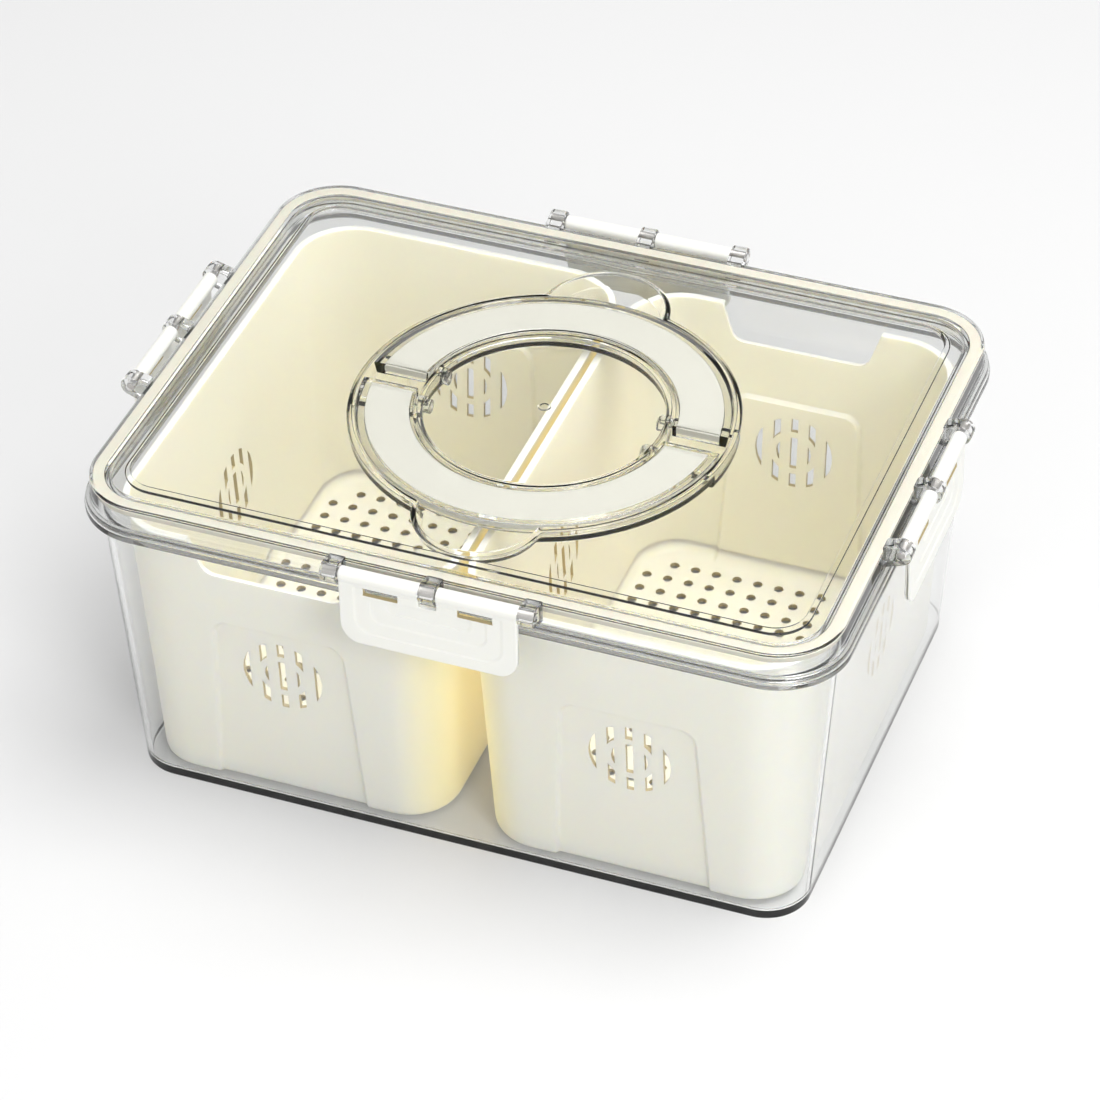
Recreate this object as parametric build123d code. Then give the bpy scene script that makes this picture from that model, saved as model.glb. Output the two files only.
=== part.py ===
from build123d import *
import os
from math import atan2, cos, pi, sin

# A clear storage box for the fridge. It holds two draining baskets side by side under one clear
# lid, which has a seal, four snap latches and a carrying handle in two half rings.
# The frame is in millimetres: +X along the long side, -Y to the front, +Z up, and the origin is
# at the middle of the base.

# The lid's flat rim, seen from above, is the outline that the rest is set out from.
RIM_W = 300.0
RIM_D = 227.7
RIM_R = 26.0
RIM_TOP = 142.7
PLATE = 2.0

# Box
BASE_INSET = 11.3
BASE_R = 17.8
NECK_INSET = 2.6
NECK_Z = 127.7
BOX_WALL = 2.2
BOX_FLOOR = 2.5
BOX_FOOT_R = 2.4
FLANGE_OUT = 2.7
FLANGE_TOP = 130.3
LIP_TOP = 138.0

# Lid
SKIRT_BOTTOM = 130.5
SKIRT_FLARE = 0.6
SKIRT_WALL = 1.0
BEAD_TOP = 132.8
BEAD_OUT = 2.1
PLUG_INSET = 5.9
PLUG_WALL = 1.8
PLUG_BOTTOM = 134.5
PANEL_INSET = 15.2
PANEL_R = 12.3
PANEL_TOP = 141.0
RIM_EASE = 0.8

# Seal under the rim
SEAL_GAP = 0.15
SEAL_BOTTOM = 138.15

# Ring groove in the lid, and the island that it goes round
GROOVE_OUT_R = 74.4
GROOVE_IN_R = 49.5
GROOVE_FLOOR = 135.3
GROOVE_WALL = 1.9
DIP_FLOOR = 132.8
DIP_HALF = 13.4
SCOOP_R = 24.0
SCOOP_Y = 69.0
SCOOP_DRAFT = 2.0

# Handle half rings
RING_OUT_R = 73.6
RING_FOOT_R = 72.5
RING_IN_R = 50.8
RING_BOTTOM = 136.0
RING_END_Y = 5.2
RING_SKIN = 1.4
RING_END_WALL = 1.5
BAND_IN_R = 52.3
BAND_OUT_R = 69.6
BAND_BOTTOM = 137.0
BAND_GAP = 0.1
PIVOT_Y = 9.8
PIVOT_Z = 138.4
TRUNNION_R = 2.0
TRUNNION_TIP_X = 44.3
TRUNNION_ROOT_X = 50.6
SOCKET_R = 3.5
SOCKET_END_X = 43.2
RUN_GAP = 0.05

# Latches and their hinges, set out on one side of the box: s runs along the side and u outwards
HINGE_OUT = 6.6
HINGE_Z = 141.0
PIN_R = 1.75
PIN_RECESS = 0.5
LUG_R = 4.2
LUG_W = 6.5
LUG_PITCH = 39.0
LUG_FOOT = 134.0
BARREL_R = 3.0
END_GAP = 0.35
FLAP_OUT = 2.4
FLAP_T = 2.2
FLAP_BOTTOM = 110.5
FLAP_R = 9.0
NOTCH_DROP = 6.2
SLOT_W = 13.8
SLOT_H = 3.5
SLOT_S = 18.7
SLOT_Z = 136.0
TERRACE_TOPS = (137.8, 133.6, 133.6)
TERRACE_INSET = 6.2
TERRACE_RISE = 5.8
TERRACE_STEP = 0.3
HOOK_GAP = 0.15
HOOK_TOP = 127.2
HOOK_H = 3.0

# Baskets
BASKET_PITCH = 142.0
BASKET_Z = 2.6
BASKET_TOP = 128.0
BASKET_FOOT = (126.0, 194.0, 21.0)
BASKET_MOUTH = (137.0, 211.0, 25.0)
BASKET_WALL = 1.8
BASKET_LIP = 1.2
BASKET_FOOT_R = 3.0
PANE_FOOT = 62.6
PANE_HEAD = 53.0
PANE_TOP = 87.0
PANE_R = 6.0
PANE_DEEP = 1.6
VENT_Z = 64.5
VENT_R = 16.5
VENT_RING = (7.4, 10.2)
VENT_PITCH = 7.5
VENT_SLOT = 2.9
VENT_REACH = 6.0
MOUTH_NOTCH = (56.0, 67.0, 111.5)
MOUTH_NOTCH_R = 6.0

SIDES = {
    "front": (RIM_D / 2, 180),
    "right": (RIM_W / 2, -90),
    "back": (RIM_D / 2, 0),
    "left": (RIM_W / 2, 90),
}
THROUGH = 400.0


def outline(inset, radius, z):
    """The rim's rounded outline, drawn in by inset, at height z."""
    return Pos(0, 0, z) * RectangleRounded(RIM_W - 2 * inset, RIM_D - 2 * inset, radius)


def slab(inset, radius, z0, z1):
    """A straight-sided solid of the rim's outline, from z0 up to z1."""
    return extrude(outline(inset, radius, z0), z1 - z0)


def ring_wall(inset, wall, z0, z1):
    """An upright wall that follows the rim's outline."""
    outer = slab(inset, RIM_R - inset, z0, z1)
    return outer - slab(inset + wall, RIM_R - inset - wall, z0, z1)


def stacked(levels):
    """A solid with straight drafted sides through (height, (width, depth, radius)) levels."""
    return loft([Pos(0, 0, z) * RectangleRounded(*size) for z, size in levels], ruled=True)


def tapered(foot, head, z0, z1):
    """A solid with straight drafted sides between two rounded rectangles (width, depth, radius)."""
    return stacked([(z0, foot), (z1, head)])


def grown(size, by):
    """A rounded rectangle's (width, depth, radius), offset outwards."""
    return (size[0] + 2 * by, size[1] + 2 * by, size[2] + by)


def between(foot, head, z0, z1, z):
    """The rounded rectangle that a tapered solid has at height z."""
    share = (z - z0) / (z1 - z0)
    return tuple(a + (b - a) * share for a, b in zip(foot, head))


def footed(foot, head, z0, z1, radius):
    """A tapered solid whose lower edge is eased by two bands that follow a quarter round."""
    bevel = radius * (1 - cos(pi / 4))
    levels = []
    for rise, inset in ((0, radius), (bevel, bevel), (radius, 0)):
        size = between(foot, head, z0, z1, z0 + rise)
        levels.append((z0 + rise, grown(size, -inset)))
    return stacked(levels + [(z1, head)])


def tube(r0, r1, z0, z1):
    """A flat ring about the Z axis, or a disc where r0 is 0."""
    disc = Circle(r1) - Circle(r0) if r0 else Circle(r1)
    return Pos(0, 0, z0) * extrude(disc, z1 - z0)


def frustum(r0, r1, z0, z1):
    """A cone about the Z axis, cut off square, from radius r0 at z0 to r1 at z1."""
    return Pos(0, 0, (z0 + z1) / 2) * Cone(r0, r1, z1 - z0)


def on_side(name):
    """The placement that carries a piece drawn on the back side (outwards is +Y) to a side."""
    distance, turn = SIDES[name]
    return Rot(0, 0, turn) * Pos(0, distance, 0)


def make_box():
    foot = (RIM_W - 2 * BASE_INSET, RIM_D - 2 * BASE_INSET, BASE_R)
    neck = (RIM_W - 2 * NECK_INSET, RIM_D - 2 * NECK_INSET, RIM_R)
    body = footed(foot, neck, 0, NECK_Z, BOX_FOOT_R)
    body += slab(NECK_INSET, RIM_R, NECK_Z, LIP_TOP)
    flange = slab(-FLANGE_OUT, RIM_R + FLANGE_OUT, NECK_Z, FLANGE_TOP)
    body += flange
    floor_size = grown(between(foot, neck, 0, NECK_Z, BOX_FLOOR), -BOX_WALL)
    hollow = tapered(floor_size, grown(neck, -BOX_WALL), BOX_FLOOR, NECK_Z)
    hollow += slab(NECK_INSET + BOX_WALL, RIM_R - BOX_WALL, NECK_Z, LIP_TOP)
    return body - hollow


def handle_trough(grow):
    """The groove for the handle, with its dips and finger scoops, offset outwards by grow."""
    r0 = GROOVE_IN_R - grow
    r1 = GROOVE_OUT_R + grow
    floor = GROOVE_FLOOR - grow
    trough = tube(r0, r1, floor, PANEL_TOP)
    dip_floor = DIP_FLOOR - grow
    dip = Pos(0, 0, dip_floor) * extrude(Rectangle(THROUGH, 2 * (DIP_HALF + grow)), PANEL_TOP - dip_floor)
    trough += dip & tube(r0, r1, dip_floor, PANEL_TOP)
    for side in (-1, 1):
        mouth_r = SCOOP_R + grow
        scoop = frustum(mouth_r - SCOOP_DRAFT, mouth_r, floor, PANEL_TOP)
        trough += Pos(0, side * SCOOP_Y, 0) * scoop - tube(0, r0 + grow, floor, PANEL_TOP)
    return trough


def make_lug(s):
    """A hinge lug on the back side: an eye on a web that runs down the skirt."""
    with BuildSketch(Plane.YZ) as profile:
        with Locations((HINGE_OUT, HINGE_Z)):
            Circle(LUG_R)
        with BuildLine():
            Polyline(
                (0, HINGE_Z + LUG_R - 1.5),
                (HINGE_OUT, HINGE_Z + LUG_R),
                (HINGE_OUT + LUG_R, HINGE_Z),
                (SKIRT_FLARE, LUG_FOOT),
                (-SKIRT_WALL / 2, LUG_FOOT),
                close=True,
            )
        make_face()
    return Pos(s, 0, 0) * extrude(profile.sketch, LUG_W / 2, both=True)


def pin_rod(radius, s0, s1):
    """A rod on the back side's hinge axis, from s0 to s1."""
    return Pos((s0 + s1) / 2, HINGE_OUT, HINGE_Z) * Rot(0, 90, 0) * Cylinder(radius, s1 - s0)


def make_lid():
    size = (RIM_W, RIM_D, RIM_R)
    rim = stacked([
        (SKIRT_BOTTOM, grown(size, SKIRT_FLARE)),
        (RIM_TOP - RIM_EASE, size),
        (RIM_TOP, grown(size, -RIM_EASE)),
    ])
    rim += slab(-BEAD_OUT, RIM_R + BEAD_OUT, SKIRT_BOTTOM, BEAD_TOP)
    lugs = [on_side(name) * make_lug(s) for name in SIDES for s in (-LUG_PITCH, 0, LUG_PITCH)]
    rim += lugs
    rim -= slab(SKIRT_WALL, RIM_R - SKIRT_WALL, SKIRT_BOTTOM, RIM_TOP - PLATE)
    rim -= slab(PANEL_INSET, PANEL_R, PANEL_TOP, RIM_TOP)
    plate = slab(PANEL_INSET - PLATE, PANEL_R + PLATE, PANEL_TOP - PLATE, PANEL_TOP)
    plug = ring_wall(PLUG_INSET, PLUG_WALL, PLUG_BOTTOM, RIM_TOP - PLATE)
    lid = rim + plate + plug + handle_trough(GROOVE_WALL)
    for x in (-1, 1):
        for y in (-1, 1):
            length = GROOVE_IN_R - GROOVE_WALL / 2 - SOCKET_END_X
            eye = Pos(x * (SOCKET_END_X + length / 2), y * PIVOT_Y, PIVOT_Z) * Rot(0, 90, 0)
            lid += (eye * Cylinder(SOCKET_R, length)) & slab(0, RIM_R, DIP_FLOOR, PANEL_TOP)
    lid -= handle_trough(0)
    for x in (-1, 1):
        for y in (-1, 1):
            tip = TRUNNION_TIP_X - END_GAP
            bore = Pos(x * (tip + GROOVE_IN_R) / 2, y * PIVOT_Y, PIVOT_Z) * Rot(0, 90, 0)
            lid -= bore * Cylinder(TRUNNION_R + RUN_GAP, GROOVE_IN_R - tip)
    reach = LUG_PITCH + LUG_W / 2
    for name in SIDES:
        lid -= on_side(name) * pin_rod(PIN_R, -reach, reach)
    return lid


def make_gasket():
    wall = PLUG_INSET - SKIRT_WALL - 2 * SEAL_GAP
    seal = ring_wall(SKIRT_WALL + SEAL_GAP, wall, SEAL_BOTTOM, RIM_TOP - PLATE)
    return seal


def make_latch(name):
    """A snap latch: two barrels on the hinge, a flap with nested terraces, and a hook rib."""
    half = LUG_PITCH - LUG_W / 2 - END_GAP
    notch_half = LUG_W / 2 + END_GAP
    face = HINGE_OUT + FLAP_OUT
    notch_z = HINGE_Z - NOTCH_DROP
    front = Plane(origin=(0, face, 0), x_dir=(1, 0, 0), z_dir=(0, -1, 0))
    with BuildSketch(front) as shape:
        with Locations((0, (HINGE_Z + FLAP_BOTTOM) / 2)):
            Rectangle(2 * half, HINGE_Z - FLAP_BOTTOM)
        fillet(shape.vertices().sort_by(Axis.Y)[:2], FLAP_R)
        with Locations((0, HINGE_Z - NOTCH_DROP / 2)):
            Rectangle(2 * notch_half, NOTCH_DROP, mode=Mode.SUBTRACT)
        with Locations((-SLOT_S, SLOT_Z), (SLOT_S, SLOT_Z)):
            Rectangle(SLOT_W, SLOT_H, mode=Mode.SUBTRACT)
    latch = extrude(shape.sketch, FLAP_T)
    latch += pin_rod(BARREL_R, -half, -notch_half)
    latch += pin_rod(BARREL_R, notch_half, half)
    for step in range(len(TERRACE_TOPS)):
        inset = TERRACE_INSET * (step + 1)
        low = FLAP_BOTTOM + TERRACE_RISE * (step + 1)
        high = TERRACE_TOPS[step]
        with BuildSketch(front) as terrace:
            with Locations((0, (low + high) / 2)):
                Rectangle(2 * (half - inset), high - low)
            fillet(terrace.vertices().sort_by(Axis.Y)[:2], FLAP_R - 2 * (step + 1))
        latch -= extrude(terrace.sketch, TERRACE_STEP * (step + 1))
    hook_out = FLANGE_OUT + HOOK_GAP
    inner = face - FLAP_T
    with BuildSketch(Plane.YZ) as hook:
        with BuildLine():
            Polyline(
                (inner + FLAP_T / 2, HOOK_TOP),
                (hook_out + HOOK_H / 4, HOOK_TOP),
                (hook_out, HOOK_TOP - HOOK_H / 4),
                (hook_out, HOOK_TOP - HOOK_H / 2),
                (inner + FLAP_T / 2, HOOK_TOP - HOOK_H),
                close=True,
            )
        make_face()
    latch += extrude(hook.sketch, half - FLAP_R, both=True)
    latch -= pin_rod(PIN_R + RUN_GAP, -half, half)
    return on_side(name) * latch


def make_pin(name):
    reach = LUG_PITCH + LUG_W / 2 - PIN_RECESS
    return on_side(name) * pin_rod(PIN_R, -reach, reach)


def half_plane(side, y):
    """The half space beyond y on one side, as a large block."""
    return Pos(0, side * (y + THROUGH / 2), PANEL_TOP) * Box(THROUGH, THROUGH, THROUGH)


def make_handle(side):
    """A clear half ring: a channel open below, closed at its ends, with a trunnion at each end."""
    ring = frustum(RING_FOOT_R, RING_OUT_R, RING_BOTTOM, PANEL_TOP)
    ring -= tube(0, RING_IN_R, RING_BOTTOM, PANEL_TOP)
    ring &= half_plane(side, RING_END_Y)
    channel = tube(BAND_IN_R, BAND_OUT_R, RING_BOTTOM, PANEL_TOP - RING_SKIN)
    ring -= channel & half_plane(side, RING_END_Y + RING_END_WALL)
    for x in (-1, 1):
        centre = x * (TRUNNION_TIP_X + TRUNNION_ROOT_X) / 2
        spot = Pos(centre, side * PIVOT_Y, PIVOT_Z) * Rot(0, 90, 0)
        ring += spot * Cylinder(TRUNNION_R, TRUNNION_ROOT_X - TRUNNION_TIP_X)
    return ring


def make_band(side):
    """The cream band that fills the handle's channel."""
    band = tube(BAND_IN_R + BAND_GAP, BAND_OUT_R - BAND_GAP, BAND_BOTTOM, PANEL_TOP - RING_SKIN)
    return band & half_plane(side, RING_END_Y + RING_END_WALL + BAND_GAP)


def vent_sketch():
    """Five upright slots cut from a disc, with an uncut ring left round the middle."""
    inner, outer = VENT_RING
    disc = Circle(VENT_R) - (Circle(outer) - Circle(inner))
    slots = [Pos(k * VENT_PITCH, 0) * Rectangle(VENT_SLOT, 2 * VENT_R) for k in range(-2, 3)]
    return disc & Sketch(children=slots)


def pane_sketch(grow):
    """The recessed panel low on a basket's end wall: y is 0 at its head, and it runs off the foot."""
    slope = (PANE_FOOT - PANE_HEAD) / 2 / (PANE_TOP - BASKET_Z)
    drop = PANE_TOP - BASKET_Z + BASKET_WALL * 2
    foot = PANE_HEAD / 2 + slope * drop + grow
    head = PANE_HEAD / 2 + grow
    pane = make_face(Polyline((-foot, -drop), (foot, -drop), (head, grow), (-head, grow), close=True))
    return fillet(pane.vertices().sort_by(Axis.Y)[2:], PANE_R)


def wall_plane(nx, ny, z):
    """The plane of a basket wall's outer face, at height z, with its normal outwards."""
    size = between(BASKET_FOOT, BASKET_MOUTH, BASKET_Z, BASKET_TOP, z)
    index = 0 if nx else 1
    run = (BASKET_MOUTH[index] - BASKET_FOOT[index]) / 2
    lean = atan2(run, BASKET_TOP - BASKET_Z)
    origin = (nx * size[0] / 2, ny * size[1] / 2, z)
    return Plane(origin=origin, x_dir=(-ny, nx, 0), z_dir=(nx * cos(lean), ny * cos(lean), -sin(lean)))


def make_basket(side):
    """A basket with its notch in one end wall: side is -1 for the left one and 1 for the right."""
    outer = footed(BASKET_FOOT, BASKET_MOUTH, BASKET_Z, BASKET_TOP, BASKET_FOOT_R)
    lip = grown(BASKET_MOUTH, BASKET_LIP)
    outer += Pos(0, 0, BASKET_TOP - BASKET_LIP) * extrude(RectangleRounded(*lip), BASKET_LIP)
    floor = BASKET_Z + BASKET_WALL
    floor_size = between(BASKET_FOOT, BASKET_MOUTH, BASKET_Z, BASKET_TOP, floor)
    hollow = tapered(grown(floor_size, -BASKET_WALL), grown(BASKET_MOUTH, -BASKET_WALL), floor, BASKET_TOP)
    for ny in (-1, 1):
        wall = wall_plane(0, ny, PANE_TOP)
        bulge = wall.offset(-PANE_DEEP - BASKET_WALL) * pane_sketch(BASKET_WALL)
        hollow -= extrude(bulge, BASKET_FOOT_R + PANE_DEEP + BASKET_WALL)
        outer -= extrude(wall.offset(-PANE_DEEP) * pane_sketch(0), BASKET_FOOT_R + PANE_DEEP)
    basket = outer - hollow
    for nx, ny in ((-1, 0), (1, 0), (0, -1), (0, 1)):
        basket -= extrude(wall_plane(nx, ny, VENT_Z) * vent_sketch(), VENT_REACH, both=True)
    foot, mouth, low = MOUTH_NOTCH
    high = BASKET_TOP + BASKET_LIP
    spread = foot / 2 + (mouth - foot) / 2 * (high - low) / (BASKET_TOP - low)
    notch = make_face(Polyline((-foot / 2, low), (foot / 2, low), (spread, high), (-spread, high), close=True))
    notch = fillet(notch.vertices().sort_by(Axis.Y)[:2], MOUTH_NOTCH_R)
    end = Plane(origin=(0, side * BASKET_MOUTH[1] / 2, 0), x_dir=(1, 0, 0), z_dir=(0, -1, 0))
    basket -= extrude(end * notch, MOUTH_NOTCH_R + BASKET_WALL, both=True)
    return basket


def main():
    os.makedirs("parts", exist_ok=True)
    pieces = {
        "outer_box": make_box(),
        "lid": make_lid(),
        "lid_gasket": make_gasket(),
        "basket_left": Pos(-BASKET_PITCH / 2, 0, 0) * make_basket(-1),
        "basket_right": Pos(BASKET_PITCH / 2, 0, 0) * make_basket(1),
    }
    for name in SIDES:
        pieces["latch_" + name] = make_latch(name)
        pieces["latch_pin_" + name] = make_pin(name)
    for name, side in (("front", -1), ("back", 1)):
        pieces["handle_" + name] = make_handle(side)
        pieces["handle_band_" + name] = make_band(side)
    for name, piece in pieces.items():
        export_step(piece, os.path.join("parts", name + ".step"))


main()
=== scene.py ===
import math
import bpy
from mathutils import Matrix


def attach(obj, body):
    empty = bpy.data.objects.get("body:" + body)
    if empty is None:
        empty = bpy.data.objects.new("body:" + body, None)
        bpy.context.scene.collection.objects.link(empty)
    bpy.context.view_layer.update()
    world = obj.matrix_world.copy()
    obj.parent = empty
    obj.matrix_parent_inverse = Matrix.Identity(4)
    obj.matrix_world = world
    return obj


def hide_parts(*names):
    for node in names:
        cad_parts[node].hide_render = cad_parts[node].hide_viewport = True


bl_info = {
    "name": "Divided Fridge Box",
    "version": (1, 0, 0),
    "blender": (4, 5, 0),
    "location": "3D View > Sidebar > Fridge Box",
    "description": "Builds the looks of a clear fridge box with two draining baskets",
    "category": "Add Mesh",
}

import bpy
import numpy as np
from bpy.props import FloatProperty, FloatVectorProperty, PointerProperty
from mathutils import Matrix, Vector

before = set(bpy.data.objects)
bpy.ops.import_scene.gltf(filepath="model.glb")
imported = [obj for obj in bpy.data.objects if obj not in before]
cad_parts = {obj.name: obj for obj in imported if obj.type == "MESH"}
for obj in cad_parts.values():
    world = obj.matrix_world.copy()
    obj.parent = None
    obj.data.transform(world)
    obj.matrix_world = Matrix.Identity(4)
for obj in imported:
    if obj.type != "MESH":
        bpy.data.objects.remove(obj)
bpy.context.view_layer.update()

# Lengths are millimetres until a mesh is put in, which multiplies them by MM.
MM = 0.001

# The lid's rim outline and the heights that hang on it. PANEL_CORNER holds the insets between which
# the outline has the panel's own corner radius.
RIM_HALF_X = 150.0
RIM_HALF_Y = 113.85
RIM_R = 26.0
RIM_TOP = 142.7
PLATE = 2.0
SKIRT_BOTTOM = 130.5
SKIRT_FLARE = 0.6
SKIRT_WALL = 1.0
BEAD_TOP = 132.8
BEAD_OUT = 2.1
PLUG_INSET = 5.9
PLUG_WALL = 1.8
PLUG_BOTTOM = 134.5
PANEL_INSET = 15.2
PANEL_R = 12.3
PANEL_TOP = 141.0
PANEL_CORNER = (12.0, 16.0)

# Ring groove, dips and scoops
GROOVE_OUT_R = 74.4
GROOVE_IN_R = 49.5
GROOVE_FLOOR = 135.3
GROOVE_WALL = 1.9
DIP_FLOOR = 132.8
DIP_HALF = 13.4
SCOOP_R = 24.0
SCOOP_Y = 69.0
SCOOP_DRAFT = 2.0
SCOOP_BLEND = 1.2
TROUGH_FOOT = 4.0
LID_ARC_STEPS = 220
LID_DIP_STEPS = 12

# Box
BASE_INSET = 11.3
BASE_R = 17.8
NECK_INSET = 2.6
NECK_Z = 127.7
BOX_WALL = 2.2
BOX_FLOOR = 2.5
FLANGE_OUT = 2.7
FLANGE_TOP = 130.3
LIP_TOP = 138.0
BOX_FOOT_R = 1.2
BASE_REACH = 12.0

# Handle
RING_OUT_R = 73.6
RING_FOOT_R = 72.5
RING_IN_R = 50.8
RING_BOTTOM = 136.0
RING_END_Y = 5.2
RING_SKIN = 1.4
RING_END_WALL = 1.5
RING_WALL_SHARE = 0.0085
RING_FIRST_SHARE = 0.004
BAND_IN_R = 52.3
BAND_OUT_R = 69.6
BAND_BOTTOM = 137.0
PIVOT_Y = 9.8
PIVOT_Z = 138.4
TRUNNION_R = 2.0
TRUNNION_TIP_X = 44.3
SOCKET_END_X = 43.2
SOCKET_R = 2.9
SOCKET_DROP = 2.4
ENDS = ((-1, "left"), (1, "right"))

# Latches: s runs along a side, u outwards from the rim's outline. The hook's heights are those of
# its top, of the tip's lower edge and of its foot.
HINGE_OUT = 6.6
HINGE_Z = 141.0
PIN_R = 1.75
LUG_R = 4.2
LUG_W = 6.5
LUG_PITCH = 39.0
LUG_FOOT = 134.0
BARREL_R = 3.0
LATCH_HALF = 35.4
FLAP_OUT = 2.4
FLAP_T = 2.2
FLAP_BOTTOM = 110.5
FLAP_R = 9.0
NOTCH_HALF = 3.6
NOTCH_DROP = 6.2
SLOT_W = 13.8
SLOT_H = 3.5
SLOT_S = 18.7
SLOT_Z = 136.0
TERRACE_TOPS = (137.8, 133.6, 133.6)
TERRACE_INSET = 6.2
TERRACE_RISE = 5.8
FLAP_RIM = 0.7
FLAP_FOOT_R = 0.8
FLAP_ROWS = 64
INNER_ROWS = 10
BARREL_ROWS = 30
HOOK_HEIGHTS = (127.2, 125.7, 124.2)

# Baskets. Foot and mouth are (half width, half depth, corner radius), the vents' ring is its two
# radii, and the grip notch is its half widths at foot and mouth and the height of its foot.
BASKET_PITCH = 142.0
BASKET_Z = 2.6
BASKET_TOP = 128.0
BASKET_FOOT = (63.0, 97.0, 21.0)
BASKET_MOUTH = (68.5, 105.5, 25.0)
BASKET_WALL = 1.8
BASKET_LIP = 1.2
PANE_FOOT = 62.6
PANE_HEAD = 53.0
PANE_TOP = 87.0
PANE_R = 6.0
PANE_DEEP = 1.6
VENT_Z = 64.5
VENT_R = 16.5
VENT_RING = (7.4, 10.2)
VENT_PITCH = 7.5
VENT_SLOT = 2.9
GRIP_NOTCH = (28.0, 33.5, 111.5)
DRAIN_PITCH = 9.15
DRAIN_MARGIN = 7.0
BASKET_FOOT_R = 3.0
BASKET_FLOOR_R = 4.5
FLOOR_INSET = 9.0
END_HALF = 40.0
CUT_REACH = 7.0

# The side's name: the rim's half length across it, and the turn that carries the back side to it
SIDES = {
    "front": (RIM_HALF_Y, 180),
    "right": (RIM_HALF_X, -90),
    "back": (RIM_HALF_Y, 0),
    "left": (RIM_HALF_X, 90),
}

# Camera, as fitted to the photograph's edges: degrees and millimetres
CAMERA_AZIMUTH = 21.18
CAMERA_ELEVATION = 38.90
CAMERA_ROLL = -0.97
CAMERA_DISTANCE = 1760.8
CAMERA_TARGET = (-0.05, 3.57, 67.04)
CAMERA_LENS = 144.85
SENSOR = 36.0

# Light of the world on diffuse surfaces
WORLD_DIFFUSE = 0.62

# The studio that gloss and clear plastic see, as (height of the direction, level)
STUDIO_LEVELS = ((0.10, 1.0), (0.24, 0.30), (0.62, 0.22), (0.78, 0.6), (0.92, 0.95))

# Area lamps as (name, size, watts, place), all turned to LAMP_AIM, and the floor, in metres
LAMPS = (
    ("key_right", (0.55, 0.55), 6.2, (1.0, -0.95, 0.95)),
    ("top_soft", (1.0, 1.0), 15.0, (0.4, 0.1, 1.55)),
    ("fill_front", (1.6, 1.2), 5.0, (-0.7, -1.8, 0.9)),
)
LAMP_AIM = (0, 0, 0.06)
FLOOR_HALF = 6.0
FLOOR_DROP = 0.0003
FLOOR_GLOW = 0.06

# Light that comes through a basket's wall into the gap between the two
WALL_GLOW = (0.17, 0.155, 0.10)

# How far from an arc its guard points stand, and the rounding of a rod's rims
GUARD = 0.12
ROD_RIM = 0.3


def length_property(name, description, default, low):
    """A length with its default and its lowest value, both in millimetres."""
    return FloatProperty(
        name=name, description=description, default=default * MM, min=low * MM, unit="LENGTH"
    )


def colour_property(name, description, default):
    """A colour in linear light."""
    return FloatVectorProperty(
        name=name, description=description, default=default, subtype="COLOR", size=3
    )


class BoxSizes(bpy.types.PropertyGroup):
    """Sizes that change the look of the pieces without moving them."""

    edge_round: length_property(
        "Edge rounding", "Radius of the clear plastic's moulded edges", 0.45, 0.1
    )
    terrace_step: length_property(
        "Terrace step", "Depth of each nested step on a latch's flap", 0.45, 0.0
    )
    drain_radius: length_property(
        "Drain hole radius", "Radius of the holes in a basket's floor", 2.0, 0.5
    )


class BoxColours(bpy.types.PropertyGroup):
    """Colours of the plastics and the stage."""

    clear: colour_property(
        "Clear plastic", "Tint of the box, the lid and the handle", (0.935, 0.94, 0.935)
    )
    cream: colour_property(
        "Basket plastic", "Colour of the baskets outside", (0.90, 0.89, 0.81)
    )
    # Painted light: the warmer, brighter colour of light bounced about inside a basket
    cream_painted_inner_light: colour_property(
        "Basket plastic inside", "Deeper colour of the baskets inside", (0.945, 0.895, 0.74)
    )
    # Painted light: the deeper yellow of light between the two baskets, on the wall that faces the
    # other
    cream_painted_gap_light: colour_property(
        "Basket plastic between", "Colour of the wall that faces the other basket",
        (0.95, 0.83, 0.50),
    )
    # Painted shade: the dark tan of the shade in vents, drain holes and slots
    cream_painted_hole_shade: colour_property(
        "Plastic in holes", "Colour of the walls of vents, drain holes and slots",
        (0.60, 0.50, 0.28),
    )
    latch: colour_property(
        "Latch plastic", "Colour of the latches", (0.88, 0.88, 0.83)
    )
    band: colour_property(
        "Handle band", "Colour of the bands in the handle", (0.57, 0.56, 0.50)
    )
    seal: colour_property(
        "Seal", "Colour of the lid's seal", (0.62, 0.595, 0.505)
    )
    stage: colour_property(
        "Stage", "Colour of the floor", (0.75, 0.75, 0.75)
    )


def sizes():
    """The box's sizes as the scene holds them."""
    return bpy.context.scene.fridge_box_sizes


def colours():
    """The box's colours as the scene holds them."""
    return bpy.context.scene.fridge_box_colours


# Meshes


def coordinates(*values):
    """Coordinates broadcast to one shape and joined into points along a new last axis."""
    return np.stack(np.broadcast_arrays(*values), axis=-1)


def grid_faces(rows, cols, wrap_rows=False):
    """Quads of a grid of rows by cols points, numbered row by row: each row closes on itself, and
    the last row meets the first where asked."""
    i = np.arange(rows if wrap_rows else rows - 1)[:, None]
    j = np.arange(cols)[None, :]
    i2, j2 = (i + 1) % rows, (j + 1) % cols
    quads = coordinates(i * cols + j, i * cols + j2, i2 * cols + j2, i2 * cols + j)
    return quads.reshape(-1, 4).tolist()


def put_mesh(name, points, faces, crease=32.0):
    """A mesh object at the origin from points in millimetres and faces, outwards and smooth."""
    mesh = bpy.data.meshes.new(name)
    mesh.from_pydata((np.asarray(points, float).reshape(-1, 3) * MM).tolist(), [], faces)
    mesh.validate()
    obj = bpy.data.objects.new(name, mesh)
    bpy.context.scene.collection.objects.link(obj)
    if signed_volume(mesh) < 0:
        mesh.flip_normals()
    shade(mesh, crease)
    return obj


def shade(mesh, crease=32.0):
    """Smooth faces, with edges sharper than the crease angle left hard."""
    mesh.polygons.foreach_set("use_smooth", np.ones(len(mesh.polygons), bool))
    mesh.set_sharp_from_angle(angle=math.radians(crease))
    mesh.update()


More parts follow.
